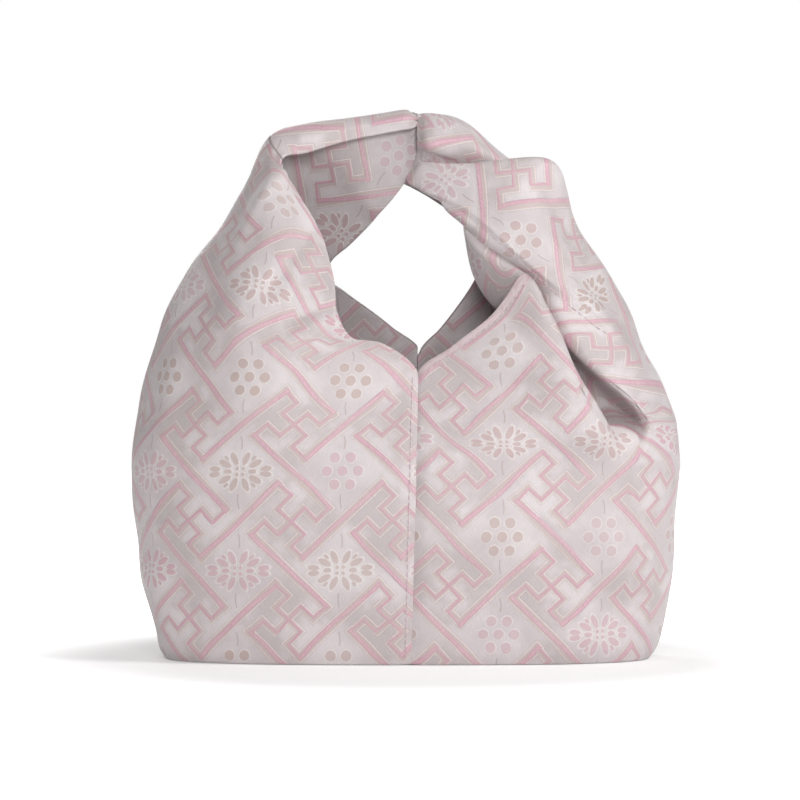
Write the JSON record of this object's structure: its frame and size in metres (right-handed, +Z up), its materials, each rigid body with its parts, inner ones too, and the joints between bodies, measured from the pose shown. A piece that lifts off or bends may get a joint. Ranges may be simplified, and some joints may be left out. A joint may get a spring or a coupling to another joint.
{
  "type": "handbag",
  "caption": "Soft handbag of patterned brocade in two halves that sweep up and join as a loop handle, with a V neck, a deep side pleat and a flat base.",
  "frame": {"origin": "centre of the flat base, on the surface that the bag stands on", "axes": "+Z up, +X to the right seen from the front, the front faces -Y"},
  "size_m": [0.2742, 0.122, 0.2753],
  "materials": {
    "brocade": "satin woven brocade, pale pink",
    "base_cloth": "plain satin weave",
    "board": "stiff grey-beige board"
  },
  "bodies": {
    "root": {"left_panel": "brocade", "right_panel": "brocade", "base_panel": "base_cloth", "base_board": "board"}
  },
  "joints": []
}
